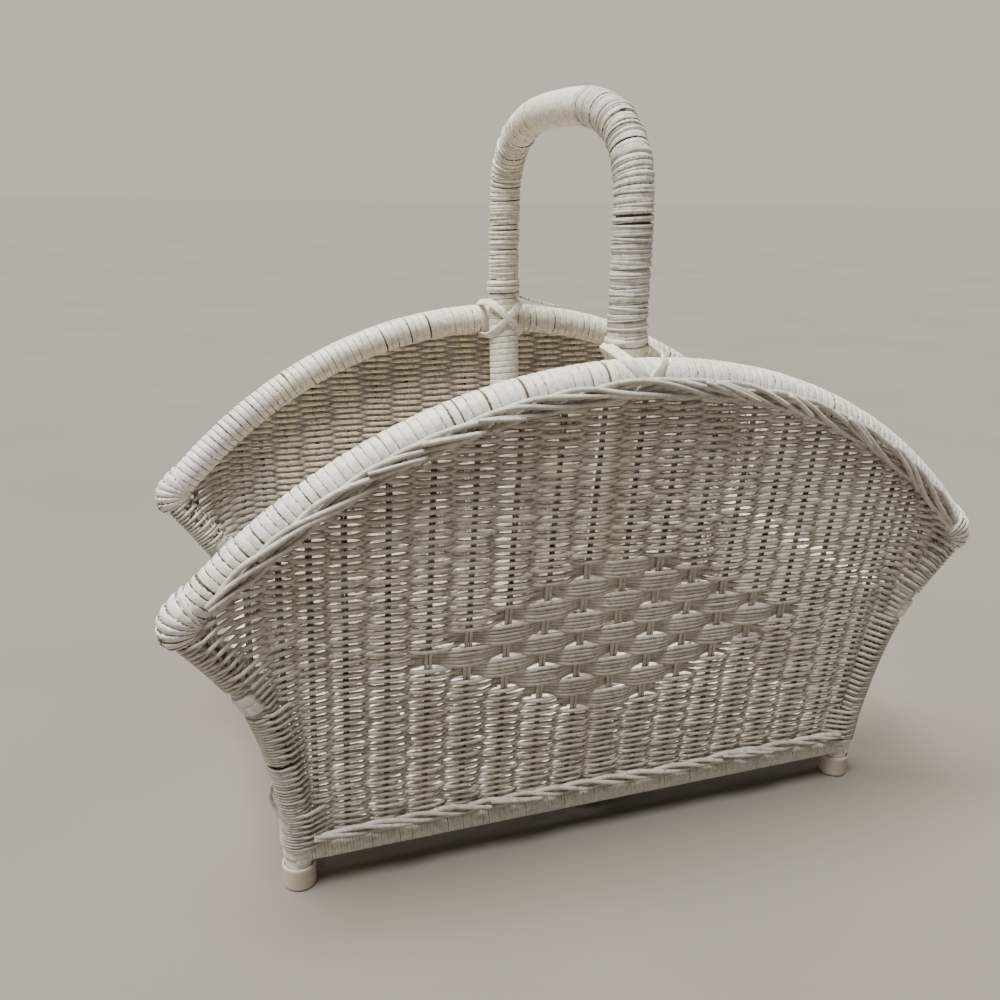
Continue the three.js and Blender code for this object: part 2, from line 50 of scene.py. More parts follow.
# Sizes shared with the solids
FOOT_HALF = 212.0
BASE_DEPTH = 100.8
LEAN = math.radians(6)
TIP_HALF = 274.0
TIP_HEIGHT = 206.0
RIM_TOP = 338.0
RIM_FULLNESS = 0.18
RIM_RADIUS = 11.5
POST_RADIUS = 9.5
RAIL_RADIUS = 8.5
BASE_RAIL = 26.5
BRAID_RISE = 16.5
END_RAIL = 154.0
FLARE = [(0.0, 0.28), (0.085, 0.472), (0.19, 0.614), (0.34, 0.741), (0.62, 0.868), (0.93, 0.985)]
FOOT_STRAIGHT = 19.0
FERRULE_HEIGHT = 17.0
FERRULE_FLOOR = 2.7
FLOOR_MIDDLE = 36.85
HANDLE_RADIUS = 12.0
POLE_RADIUS = 10.2
LEG_INSET = 23.8
LEG_FOOT = 3.0
LEG_BEND = 357.3
WINDING_START = 359.9
WINDING_REACH = 174.2
SPRING = 421.0
ARCH = 72.0
ARCH_FULLNESS = 2.83
WEAVE_OUT = 3.0
WEAVE_LEAN = math.atan2(7.0, RIM_TOP)
STAKE_PITCH = 25.7
DIAMOND_LOW = 109.0
DIAMOND_HEIGHT = 112.0
DIAMOND_ROWS = 9
DIAMOND_STAKES = 11
CROSS_WIDTH = 6.0
CROSS_THICKNESS = 1.3
CROSS_SLACK = 0.4
GAP = 0.3

# Reeds of the woven panels
BUNDLE = 5
ROW_PITCH = DIAMOND_HEIGHT / (DIAMOND_ROWS * BUNDLE)
ROW_FIRST = 35.4
ROW_DEPTH = 2.4
ROW_TALL = 1.5
ROW_THICK = 1.2
ROD = 1.3
OUTER_STAKES = [200.0, 217.0, 235.0, 254.0]
INNER_STAKES = 8
STAKE_LOW = 28.0
FAN_LENGTH = 48.0
RING_RADIUS = POST_RADIUS + 1.0
WORN_HEIGHT = 103.0
LOOP_LOW = 58.0
LOOP_HIGH = 88.0
TOP_RING = 198.5

# Distances between the points of a line
POST_STEP = 2.5
POLE_STEP = 3.0
HANDLE_STEP = 2.0
ROW_STEP = 3.2

# Sections of a strip: share of its width along the line, share of its thickness above the radius
FLAT = [(0.0, -0.5), (0.03, 0.7), (0.16, 0.97), (0.5, 1.0), (0.84, 0.97), (0.97, 0.7), (1.0, -0.5)]
ROUND = [(0.0, -0.4), (0.05, 0.35), (0.22, 0.85), (0.5, 1.0), (0.78, 0.85), (0.95, 0.35), (1.0, -0.4)]
SHINGLE = [(0.0, -0.4), (0.04, 0.25), (0.3, 0.6), (0.65, 0.9), (0.93, 1.0), (0.99, 0.7), (1.0, -0.4)]


def to_world(points, back):
    x, y, z = points[..., 0], points[..., 1], points[..., 2]
    turn = -1.0 if back else 1.0
    depth = -BASE_DEPTH + y * math.cos(LEAN) - z * math.sin(LEAN)
    return np.stack([turn * x, turn * depth, y * math.sin(LEAN) + z * math.cos(LEAN)], -1)


def from_weave(points):
    x, y, z = points[..., 0], points[..., 1], points[..., 2]
    depth = -WEAVE_OUT + y * math.cos(WEAVE_LEAN) - z * math.sin(WEAVE_LEAN)
    return np.stack([x, depth, y * math.sin(WEAVE_LEAN) + z * math.cos(WEAVE_LEAN)], -1)


def rim_height(x):
    u = np.asarray(x) / TIP_HALF
    fall = (1 - RIM_FULLNESS) * u ** 2 + RIM_FULLNESS * u ** 4
    return RIM_TOP - (RIM_TOP - TIP_HEIGHT) * fall


def rim_slope(x):
    u = np.asarray(x) / TIP_HALF
    steepness = 2 * (1 - RIM_FULLNESS) * u + 4 * RIM_FULLNESS * u ** 3
    return -(RIM_TOP - TIP_HEIGHT) / TIP_HALF * steepness


def unit(vectors):
    return vectors / np.linalg.norm(vectors, axis=-1, keepdims=True)


def lengths_of(points):
    steps = np.linalg.norm(np.diff(points, axis=0), axis=1)
    return np.concatenate([[0.0], np.cumsum(steps)])


# The same line with its points at even steps
def even(points, step):
    lengths = lengths_of(points)
    count = max(int(round(lengths[-1] / step)), 2)
    at = np.linspace(0, lengths[-1], count + 1)
    return np.stack([np.interp(at, lengths, points[:, k]) for k in range(3)], -1)


def smooth(points, rounds):
    for _ in range(rounds):
        inner = 0.5 * points[1:-1] + 0.25 * (points[:-2] + points[2:])
        points = np.concatenate([points[:1], inner, points[-1:]])
    return points


# For each point of a line, the way that is nearest to up and the way across it
def frames(points, up):
    tangent = unit(np.gradient(points, axis=0))
    up = np.broadcast_to(np.asarray(up, float), points.shape)
    normal = unit(up - tangent * (up * tangent).sum(-1, keepdims=True))
    return normal, np.cross(tangent, normal)


# A slowly changing random line, about zero
def wander(count, every, size):
    knots = max(int(count / every), 1) + 3
    values = rng.uniform(-size, size, knots)
    at = np.linspace(0, knots - 1, count)
    low = np.minimum(at.astype(int), knots - 2)
    share = at - low
    share = share * share * (3 - 2 * share)
    return values[low] * (1 - share) + values[low + 1] * share


# A mesh under construction: points, faces, and for each point a tone and a wear
class Build:
    def __init__(self):
        self.points = []
        self.quads = []
        self.triangles = []
        self.tones = []
        self.wears = []
        self.count = 0

    def loft(self, rings, tone=0.5, wear=0.0, looped=False):
        rings = np.asarray(rings, float)
        along, around = rings.shape[:2]
        i = np.arange(along if looped else along - 1)[:, None]
        j = np.arange(around)[None, :]
        here = i * around
        there = ((i + 1) % along) * around
        after = (j + 1) % around
        quads = np.stack([here + j, here + after, there + after, there + j], -1).reshape(-1, 4)
        points = rings.reshape(-1, 3)
        tone = np.broadcast_to(np.asarray(tone, float), (along,)).repeat(around)
        wear = np.broadcast_to(np.asarray(wear, float), (along, around)).ravel()
        triangles = np.zeros((0, 3), int)
        if not looped:
            total = len(points)
            points = np.concatenate([points, [rings[0].mean(0), rings[-1].mean(0)]])
            tone = np.append(tone, [tone[0], tone[-1]])
            wear = np.append(wear, [wear[0], wear[-1]])
            j = np.arange(around)
            after = (j + 1) % around
            base = (along - 1) * around
            first = np.stack([after, j, np.full(around, total)], -1)
            final = np.stack([base + j, base + after, np.full(around, total + 1)], -1)
            triangles = np.concatenate([first, final])
        if self.inward(points, quads):
            quads = quads[:, ::-1]
            triangles = triangles[:, ::-1]
        self.points.append(points)
        self.quads.append(quads + self.count)
        self.triangles.append(triangles + self.count)
        self.tones.append(tone)
        self.wears.append(wear)
        self.count += len(points)

    @staticmethod
    def inward(points, quads):
        corners = points[quads] - points.mean(0)
        across = np.cross(corners[:, 2] - corners[:, 0], corners[:, 3] - corners[:, 1])
        return (across * corners.mean(1)).sum() < 0

    # A tube of oval section: tall along the way up, wide across it
    def tube(self, points, tall, wide, sides, up, tone=0.5, wear=0.0):
        normal, across = frames(points, up)
        angle = 2 * np.pi * np.arange(sides) / sides
        tall = np.broadcast_to(np.asarray(tall, float), (len(points),))[:, None, None]
        wide = np.broadcast_to(np.asarray(wide, float), (len(points),))[:, None, None]
        rings = points[:, None, :] + tall * np.cos(angle)[None, :, None] * normal[:, None, :]
        rings = rings + wide * np.sin(angle)[None, :, None] * across[:, None, :]
        self.loft(rings, tone, wear)

    # A strip of cane wound round a line. Seams open between some of the turns, the paint flakes off
    # their edges, and where the blend is 1 the turns lie over each other like shingles.
    def wind(self, points, radius, pitch, width, thickness, up, start, end, steps, section,
             ragged, shift, tone_spread=0.3, lift=0.0, seams=0.0, blend=None, flaked=0.0):
        lengths = lengths_of(points)
        normal, across = frames(points, up)
        end = lengths[-1] if end is None else end
        count = int((end - start - width) / pitch * steps) + 1
        ring = np.arange(count)
        angle = 2 * np.pi * ring / steps + rng.uniform(0, FULL_TURN)
        along = start + pitch * ring / steps + wander(count, steps * 0.6, shift)
        opened = np.clip(wander(count, steps * 0.7, 1.0) - 0.5, 0, 1) * seams
        wide = width * (1 + wander(count, steps * 0.8, ragged) - opened)
        high = thickness * (1 + wander(count, steps * 0.9, ragged)) + wander(count, steps * 0.5, lift)
        lapped = np.zeros(count) if blend is None else blend(along / lengths[-1])
        filled = 0.5 * np.clip(0.5 + wander(count, steps * 0.6, 1.1), 0, 1) * (1 - lapped)
        rings = np.empty((count, len(section), 3))
        for place, (share, rise) in enumerate(section):
            at = np.clip(along + share * wide, 0, lengths[-1])
            centre = np.stack([np.interp(at, lengths, points[:, k]) for k in range(3)], -1)
            out = np.stack([np.interp(at, lengths, normal[:, k]) for k in range(3)], -1)
            side = np.stack([np.interp(at, lengths, across[:, k]) for k in range(3)], -1)
            level = rise * (1 - lapped) + SHINGLE[place][1] * lapped
            level = level + (1 - level) * filled * (level > 0)
            reach = radius + level * high
            circle = np.cos(angle)[:, None] * unit(out) + np.sin(angle)[:, None] * unit(side)
            rings[:, place] = centre + reach[:, None] * circle
        edges = np.array([1.0 if rise < 0.75 else 0.15 for _, rise in section])
        wear = np.clip(flaked * (1 + 0.5 * lapped) + wander(count, steps * 0.5, flaked * 0.5), 0, 1)
        tone = 0.5 + wander(count, steps * 1.1, tone_spread)
        self.loft(rings, tone, wear[:, None] * edges)


def mesh_of(name, build, material, nodes):
    mesh = bpy.data.meshes.new(name)
    points = np.concatenate(build.points) * MM
    quads = np.concatenate(build.quads)
    triangles = np.concatenate(build.triangles)
    corners = np.concatenate([quads.ravel(), triangles.ravel()]).astype(np.int32)
    sizes = np.concatenate([np.full(len(quads), 4), np.full(len(triangles), 3)]).astype(np.int32)
    starts = np.concatenate([[0], np.cumsum(sizes)[:-1]]).astype(np.int32)
    mesh.vertices.add(len(points))
    mesh.vertices.foreach_set("co", points.astype(np.float32).ravel())
    mesh.loops.add(len(corners))
    mesh.loops.foreach_set("vertex_index", corners)
    mesh.polygons.add(len(sizes))
    mesh.polygons.foreach_set("loop_start", starts)
    mesh.polygons.foreach_set("loop_total", sizes)
    mesh.polygons.foreach_set("use_smooth", np.ones(len(sizes), bool))
    for label, values in (("tone", build.tones), ("wear", build.wears)):
        layer = mesh.attributes.new(label, "FLOAT", "POINT")
        layer.data.foreach_set("value", np.concatenate(values).astype(np.float32))
    mesh.update(calc_edges=True)
    mesh.materials.append(material)
    piece = bpy.data.objects.new(name, mesh)
    bpy.context.scene.collection.objects.link(piece)
    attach(piece, "root")
    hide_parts(*nodes)


# A material under construction, with its patterns placed in the object's own frame
class Look:
    def __init__(self, name):
        self.material = bpy.data.materials.new(name)
        self.material.use_nodes = True
        self.tree = self.material.node_tree
        self.shader = self.tree.nodes["Principled BSDF"]
        self.place = self.make("ShaderNodeTexCoord").outputs["Object"]

    def make(self, kind, **settings):
        node = self.tree.nodes.new(kind)
        for key, value in settings.items():
            setattr(node, key, value)
        return node

    def feed(self, socket, value):
        if isinstance(value, tuple):
            socket.default_value = (*value, 1.0)
        elif isinstance(value, (int, float)):
            socket.default_value = value
        else:
            self.tree.links.new(value, socket)

    def noise(self, scale, detail):
        node = self.make("ShaderNodeTexNoise")
        node.inputs["Scale"].default_value = scale
        node.inputs["Detail"].default_value = detail
        self.tree.links.new(self.place, node.inputs["Vector"])
        return node.outputs["Fac"]

    def attribute(self, label):
        return self.make("ShaderNodeAttribute", attribute_name=label).outputs["Fac"]

    def maths(self, operation, *values, clamp=False):
        node = self.make("ShaderNodeMath", operation=operation, use_clamp=clamp)
        for socket, value in zip(node.inputs, values):
            self.feed(socket, value)
        return node.outputs[0]

    def between(self, value, low, high):
        node = self.make("ShaderNodeMapRange", interpolation_type="SMOOTHSTEP")
        for label, number in (("From Min", low), ("From Max", high)):
            node.inputs[label].default_value = number
        self.tree.links.new(value, node.inputs["Value"])
        return node.outputs["Result"]

    def mix(self, factor, first, second):
        node = self.make("ShaderNodeMix", data_type="RGBA")
        sockets = [socket for socket in node.inputs if socket.enabled]
        for socket, value in zip(sockets, (factor, first, second)):
            self.feed(socket, value)
        return next(socket for socket in node.outputs if socket.enabled)

    def bump(self, height, strength, distance):
        node = self.make("ShaderNodeBump")
        node.inputs["Strength"].default_value = strength
        node.inputs["Distance"].default_value = distance
        self.tree.links.new(height, node.inputs["Height"])
        self.tree.links.new(node.outputs["Normal"], self.shader.inputs["Normal"])

    # The colour of the surface, and a roughness that varies about a middle value
    def surface(self, colour, rough, spread):
        self.tree.links.new(colour, self.shader.inputs["Base Color"])
        gloss = self.maths("MULTIPLY_ADD", self.noise(150.0, 3.0), spread, rough - spread / 2)
        self.tree.links.new(gloss, self.shader.inputs["Roughness"])


BARE_WOOD = (0.12, 0.085, 0.058)
# Yellow of the painted warm light on the panels' inner side
INSIDE_WARM_LIGHT = (0.97, 0.885, 0.68)

# The plane of a woven panel, how far inside it the side with painted warm light begins and how wide that
# is, in metres
PANEL_DEPTH = 0.1038
PANEL_SLOPE = 0.1256
INSIDE_FROM, INSIDE_FULL = -0.0012, -0.0030
WARM_LIGHT_END, WARM_LIGHT_FULL = 0.199, 0.189


# Which side of the woven panels a place is on: 1 where the magazines are, 0 outside
def inner_side(look):
    parts = look.make("ShaderNodeSeparateXYZ")
    look.tree.links.new(look.place, parts.inputs[0])
    depth = look.maths("ABSOLUTE", parts.outputs["Y"])
    plane = look.maths("MULTIPLY_ADD", parts.outputs["Z"], -PANEL_SLOPE, -PANEL_DEPTH)
    inside = look.between(look.maths("ADD", depth, plane), INSIDE_FROM, INSIDE_FULL)
    along = look.between(look.maths("ABSOLUTE", parts.outputs["X"]), WARM_LIGHT_END, WARM_LIGHT_FULL)
    return look.maths("MULTIPLY", inside, along)


# Brushed paint over cane or reed: cloudy white, thin greyer streaks, specks and worn places. Its yellow
# tint on the panels' inner side is painted warm light.
def painted(name, light, shade, grime, rough, warm_light):
    look = Look(name)
    clouds = look.between(look.noise(22.0, 2.0), 0.3, 0.7)
    own_tone = look.maths("MULTIPLY", look.attribute("tone"), 0.6)
    tone = look.maths("MULTIPLY_ADD", clouds, 0.4, own_tone, clamp=True)
    paint = look.mix(tone, shade, light)
    if warm_light:
        # Tint the panels' inner side yellow: painted warm light inside the basket
        paint = look.mix(look.maths("MULTIPLY", inner_side(look), warm_light), paint, INSIDE_WARM_LIGHT)
    streaks = look.noise(260.0, 5.0)
    thin = look.maths("MULTIPLY", look.between(streaks, 0.47, 0.64), 0.6)
    paint = look.mix(thin, paint, grime)
    specks = look.maths("SUBTRACT", look.noise(420.0, 4.0), 0.5)
    worn = look.maths("MULTIPLY_ADD", specks, 1.2, look.attribute("wear"))
    paint = look.mix(look.between(worn, 0.44, 0.56), paint, BARE_WOOD)
    look.surface(paint, rough, 0.3)
    look.shader.inputs["Specular IOR Level"].default_value = 0.45
    height = look.maths("ADD", look.noise(700.0, 3.0), look.maths("MULTIPLY", streaks, 1.3))
    look.bump(height, 0.5, 0.0004)
    return look.material


# One cloudy colour, for the cups and for the poles under the cane
def plain(name, colour, shade, rough):
    look = Look(name)
    clouds = look.between(look.noise(40.0, 3.0), 0.35, 0.7)
    look.surface(look.mix(clouds, colour, shade), rough, 0.2)
    look.bump(look.noise(300.0, 3.0), 0.2, 0.0003)
    return look.material


cane = painted("painted_cane", light=(0.85, 0.83, 0.79), shade=(0.73, 0.705, 0.66),
               grime=(0.52, 0.49, 0.44), rough=0.45, warm_light=0.35)
# Greyer than the cane, and darker still as painted shade, because the woven panels lie in shade
reed = painted("painted_reed", light=(0.66, 0.635, 0.585), shade=(0.45, 0.425, 0.385),
               grime=(0.33, 0.30, 0.255), rough=0.5, warm_light=0.82)
mat_reed = painted("painted_mat", light=(0.80, 0.77, 0.71), shade=(0.66, 0.63, 0.57),
                   grime=(0.42, 0.39, 0.34), rough=0.5, warm_light=0.0)
# A darker copy of the cane paint for the front leg: painted shade, because that leg lies in shade
shaded_leg_cane = painted("shaded_leg_winding", light=(0.72, 0.70, 0.66), shade=(0.54, 0.515, 0.47),
                   grime=(0.38, 0.35, 0.31), rough=0.5, warm_light=0.0)
bare = plain("worn_pole", colour=(0.13, 0.10, 0.07), shade=(0.06, 0.045, 0.03), rough=0.75)
cream = plain("cream_cup", colour=(0.64, 0.58, 0.49), shade=(0.56, 0.50, 0.42), rough=0.4)


# Lines that the pieces follow
def post_line():
    foot_y = -BASE_DEPTH - FOOT_STRAIGHT * math.sin(LEAN)
    points = []
    for height in (FERRULE_FLOOR, FOOT_STRAIGHT * math.cos(LEAN)):
        y = (foot_y + BASE_DEPTH) * math.cos(LEAN) + height * math.sin(LEAN)
        up = -(foot_y + BASE_DEPTH) * math.sin(LEAN) + height * math.cos(LEAN)
        points.append((FOOT_HALF, y, up))
    for out, share in FLARE:
        points.append((FOOT_HALF + out * (TIP_HALF - FOOT_HALF), 0.0, share * TIP_HEIGHT))
    return smooth(even(np.array(points), POST_STEP), 14)


POST = post_line()
POST_SLOPE = np.gradient(POST[:, 0]) / np.gradient(POST[:, 2])


def post_x(height):
    return np.interp(height, POST[:, 2], POST[:, 0])


def post_y(height):
    return np.interp(height, POST[:, 2], POST[:, 1])


def post_tilt(height):
    return np.interp(height, POST[:, 2], POST_SLOPE)


def rim_line(below=0.0, outside=0.0, half=TIP_HALF):
    x = np.linspace(-half, half, 400)
    slope = rim_slope(x)
    reach = below / np.hypot(1, slope)
    line = np.stack([x + reach * slope, np.full_like(x, -outside), rim_height(x) - reach], -1)
    return even(line, POLE_STEP)


def handle_line():
    bend = to_world(np.array([0.0, LEG_INSET, LEG_BEND]), False)
    foot = to_world(np.array([0.0, LEG_INSET, BASE_RAIL - LEG_FOOT]), False)
    angle = np.linspace(0, math.pi / 2, 60)
    y = -bend[1] * np.maximum(np.cos(angle), 0) ** (2 / ARCH_FULLNESS)
    z = SPRING + ARCH * np.sin(angle) ** (2 / ARCH_FULLNESS)
    front = np.concatenate([[foot, bend], np.stack([0 * y, -y, z], -1)])
    back = front[::-1] * np.array([1, -1, 1])
    return even(np.concatenate([front, back[1:]]), HANDLE_STEP)


# Where a row that runs at height h meets the post, and how much the post leans there
def row_meeting(h):
    place = h
    for _ in range(12):
        tilt = float(post_tilt(min(place, TOP_RING)))
        place = h - tilt * FAN_LENGTH / 2
    return place, tilt


# Rows are level in the middle and turn square to the post near their ends
def row_z(h, x, reach, tilt):
    share = np.clip((np.abs(x) - (reach - FAN_LENGTH)) / FAN_LENGTH, 0, 1.3)
    return h - tilt * FAN_LENGTH / 2 * share ** 2


RIGHT_STAKES = [column * STAKE_PITCH for column in range(INNER_STAKES)] + OUTER_STAKES
STAKES = sorted({side * x for x in RIGHT_STAKES for side in SIDES})
MIDDLE_STAKE = len(STAKES) // 2
LAST_COLUMN = (DIAMOND_STAKES - 1) // 2
ROW_COUNT = int((RIM_TOP - 8 - ROW_FIRST) / ROW_PITCH)
DIAMOND_FIRST = int(round((DIAMOND_LOW - ROW_FIRST) / ROW_PITCH))
ROW_START = DIAMOND_LOW + ROW_PITCH * (0.5 - DIAMOND_FIRST)


# On which side of a stake a row passes: 1 is outside
def row_side(row, stake):
    column = stake - MIDDLE_STAKE
    inside = row - DIAMOND_FIRST
    if 0 <= inside < DIAMOND_ROWS * BUNDLE:
        reach = LAST_COLUMN - abs(inside // BUNDLE - DIAMOND_ROWS // 2)
        if abs(column) <= reach:
            return -1 if (column + reach) % 2 == 0 else 1
    return 1 if (row + column) % 2 == 0 else -1


# A row's end runs part of a turn round the post. The turns stand apart at the worn place of one
# post, and lie lower under the bands at the end rails.
def ring_end(side, place, tilt, front, worn):
    tilt_angle = math.atan(tilt)
    out = np.array([side * math.cos(tilt_angle), 0.0, -math.sin(tilt_angle)])
    away = np.array([0.0, -1.0, 0.0])
    if worn:
        place = place + 1.5 * np.sign(place - WORN_HEIGHT) * math.exp(-((place - WORN_HEIGHT) / 7) ** 2)
    centre = np.array([side * post_x(place), post_y(place), place])
    first = 78.0 if front else -78.0
    final = -165.0 if front else 165.0
    angle = np.radians(np.linspace(first, final, 15))[:, None]
    under = 1.5 * (abs(place - END_RAIL) < 12)
    radius = RING_RADIUS - under - np.linspace(0, 1, 15)[:, None] ** 6 * (1.5 - under)
    return centre + radius * (np.cos(angle) * out + np.sin(angle) * away)


# Slow unevenness that neighbouring rows share
def drift(x, h):
    near = np.sin(x / 41 + 1.3) * np.sin(h / 23 + 0.4) + np.sin(x / 19 - h / 37 + 2.0) * 0.5
    return 0.75 * near * np.clip((FOOT_HALF - np.abs(x)) / 60, 0, 1)


# How far from the middle a row runs in a bundle of the diamond: 0 outside the diamond
def bundle_reach(row):
    inside = row - DIAMOND_FIRST
    if not 0 <= inside < DIAMOND_ROWS * BUNDLE:
        return 0.0
    return (LAST_COLUMN - abs(inside // BUNDLE - DIAMOND_ROWS // 2) + 0.5) * STAKE_PITCH


# A bundle's wave: 1 where it passes outside a stake, -1 where it passes behind one
def bundle_wave(row, x):
    column = bundle_reach(row) / STAKE_PITCH + 0.5
    return np.cos(np.pi * (x / STAKE_PITCH - column))


# The rows of a bundle spread outside a stake and draw together behind one
def bundle_swell(row, x):
    inside = row - DIAMOND_FIRST
    near = np.clip((bundle_reach(row) - np.abs(x)) / 8, 0, 1)
    wave = bundle_wave(row, x)
    swell = np.where(wave > 0, 0.15, 0.25) * wave * near
    return (inside % BUNDLE - BUNDLE // 2) * ROW_PITCH * swell


# The middle of one row, how far each of its points is into the ends' fan, and how far it lies
# behind the diamond's stakes
def row_line(row, back):
    h = ROW_START + row * ROW_PITCH
    place, tilt = row_meeting(h)
    meets_post = place <= TOP_RING
    reach = float(post_x(min(place, TOP_RING)))
    post_reach = reach
    margin = 13.0 if meets_post else 0.0
    spots = [k for k, x in enumerate(STAKES) if abs(x) < reach - margin]
    if not meets_post:
        grid = np.linspace(0, reach, 600)
        room = (rim_height(grid) - row_z(h, grid, reach, tilt)) / np.hypot(1, rim_slope(grid))
        reach = float(grid[np.nonzero(room > 7.5)[0][-1]])
        spots = [k for k in spots if abs(STAKES[k]) < reach - 3]
    if not spots:
        return None
    depth = ROW_DEPTH * rng.uniform(0.94, 1.08)
    bundled = bundle_reach(row)
    knots = [(STAKES[k], -depth * row_side(row, k)) for k in spots]
    ends = [row_side(row, spots[0] - 1), row_side(row, spots[-1] + 1)]
    tip = reach - 2.5 if meets_post else reach
    near = RING_RADIUS - 2.5 if meets_post else depth
    knots = [(-tip, -ends[0] * near)] + knots + [(tip, -ends[1] * near)]
    xs, ys = [], []
    for (x0, y0), (x1, y1) in zip(knots[:-1], knots[1:]):
        count = max(int(round((x1 - x0) / ROW_STEP)), 2)
        share = np.arange(count) / count
        late, length = rng.uniform(-0.09, 0.09), 0.6
        if abs(x0 + x1) / 2 < bundled:
            late, length = 0.12 * np.sign(y1 - y0), 0.75
        turn = np.clip((share - 0.5 - late) / length + 0.5, 0, 1)
        turn = turn if abs(y0 - y1) < 2.5 * depth else share
        xs.append(x0 + (x1 - x0) * share)
        ys.append(y0 + (y1 - y0) * (0.5 - 0.5 * np.cos(np.pi * turn)))
    x = np.append(np.concatenate(xs), knots[-1][0])
    y = np.append(np.concatenate(ys), knots[-1][1])
    fan = np.clip((np.abs(x) - (post_reach - FAN_LENGTH)) / FAN_LENGTH, 0, 1)
    z = row_z(h, x, post_reach, tilt) + drift(x, h) + wander(len(x), 9, 0.2) + bundle_swell(row, x)
    y = y * (1 - 0.25 * np.sin(np.pi * fan)) + wander(len(x), 11, 0.15)
    line = from_weave(np.stack([x, y, z], -1))
    if meets_post:
        left = ring_end(-1, place, tilt, ends[0] > 0, not back)[::-1]
        right = ring_end(1, place, tilt, ends[1] > 0, False)
        line = np.concatenate([left, line[1:-1], right])
        fan = np.concatenate([np.ones(len(left)), fan[1:-1], np.ones(len(right))])
    low = 0.5 - 0.5 * bundle_wave(row, line[:, 0])
    return line, fan, (np.abs(line[:, 0]) < bundled) * low


def weave(back):
    build = Build()
    for row in range(ROW_COUNT + 1):
        found = row_line(row, back)
        if found is None:
            continue
        line, fan, low = found
        size = rng.uniform(0.94, 1.05)
        fuller = 1 + 0.2 * np.sin(np.pi * fan) - 0.2 * fan
        tall = ROW_TALL * size * (1 + wander(len(line), 8, 0.06)) * fuller
        world = to_world(line, back)
        up = to_world(line + np.array([0, 0, 1.0]), back) - world
        tone = 0.55 + rng.uniform(-0.35, 0.35) + wander(len(line), 12, 0.3)
        # Within the diamond a row is painted lighter, and darker where it passes behind a stake: painted
        # shade in those recesses
        tone = tone - 0.9 * low ** 3 + 0.2 * (low > 0)
        build.tube(world, tall, ROW_THICK * size, 7, up, tone)
    for place in STAKES[MIDDLE_STAKE + LAST_COLUMN + 1:]:
        for side in SIDES:
            add_stake(build, side * place, back)
    if not back:
        add_loop(build)
    return build


# A reed that has sprung loose in a loop beside the front left post
def add_loop(build):
    share = np.linspace(0, 1, 14)
    height = np.linspace(LOOP_LOW, LOOP_HIGH, len(share))
    swing = np.sin(np.pi * share)
    out = post_x(height) + RING_RADIUS - 0.8 + 4.0 * swing
    line = np.stack([-out, post_y(height) - 3.0 + 2.0 * swing, height], -1)
    build.tube(to_world(line, False), 1.2, 1.2, 8, BACKWARDS, 0.8)


# A stake is a pair of round reeds side by side. They are thicker where the diamond leaves them open, and
# darker in patches where rows cover them.
def add_stake(build, x, back):
    low = STAKE_LOW
    if abs(x) > FOOT_HALF - 25:
        heights = np.linspace(STAKE_LOW, TIP_HEIGHT, 200)
        low = float(heights[np.nonzero(post_x(heights) - 9.5 > abs(x))[0][0]])
    high = float(rim_height(x)) - 7.0 * math.hypot(1, float(rim_slope(x)))
    z = np.linspace(low, high, max(int((high - low) / 3), 4))
    open_rows = min(DIAMOND_ROWS / 2 + 1 - abs(x) / STAKE_PITCH, DIAMOND_ROWS / 2)
    middle = DIAMOND_LOW + DIAMOND_HEIGHT / 2
    half = max(open_rows, -1.0) * DIAMOND_HEIGHT / DIAMOND_ROWS
    dark = 0.36 if abs(x) < OUTER_STAKES[0] - 1 else 0.35
    dark = dark + wander(len(z), 4, 0.22)
    hidden = np.clip((np.abs(z - middle) - half) / 4, 0, 1)
    thinner = 0.3 * hidden
    size = ROD - thinner
    for side in SIDES:
        offset = x + side * (ROD * 0.98 - thinner) + wander(len(z), 8, 0.2)
        line = from_weave(np.stack([offset, wander(len(z), 8, 0.12), z], -1))
        tone = 0.5 + rng.uniform(-0.3, 0.3)
        build.tube(to_world(line, back), size, size, 8, (0, -1, 0), tone, (dark * hidden)[:, None])


def strand_tone():
    return 0.6 + rng.uniform(-0.4, 0.3)


# Reeds twisted round a line, with the cut ends of some lying on top
def twist(build, line, back, strands, tall, thick, radius, lay, loose):
    lengths = lengths_of(line)
    normal, across = frames(line, UPWARDS)
    outer = np.sign((across * np.array([0, -1.0, 0])).sum())
    fade = 0.45 + 0.55 * np.clip(np.minimum(lengths, lengths[-1] - lengths) / 30, 0, 1)
    for strand in range(strands):
        phase = 2 * np.pi * (lengths / lay + strand / strands) + wander(len(line), 14, 0.5)
        rise = (tall * np.cos(phase) + wander(len(line), 12, 0.5)) * fade
        out = outer * thick * np.sin(phase)
        path = line + rise[:, None] * normal + out[:, None] * across
        size = radius * rng.uniform(0.9, 1.1) * (1 + wander(len(line), 9, 0.08))
        build.tube(to_world(path, back), size, size, 8, UPWARDS, strand_tone())
    for _ in range(loose):
        reach = int(rng.uniform(9, 15))
        first = int(rng.uniform(2, len(line) - reach - 2))
        some = slice(first, first + reach)
        climb = np.linspace(0.95, -0.75, reach) * tall * outer
        lift = thick + radius * (0.55 + 0.5 * np.sin(np.linspace(0, np.pi, reach)))
        path = line[some] + climb[:, None] * normal[some] + (outer * lift)[:, None] * across[some]
        size = radius * rng.uniform(0.75, 0.95)
        build.tube(to_world(path, back), size, size, 8, UPWARDS, strand_tone())


def rim_braid(back):
    build = Build()
    line = rim_line(below=2.4, outside=RIM_RADIUS + GAP + 3.3, half=TIP_HALF - 17.0)
    twist(build, line, back, strands=5, tall=5.0, thick=1.7, radius=1.65, lay=135.0, loose=9)
    return build


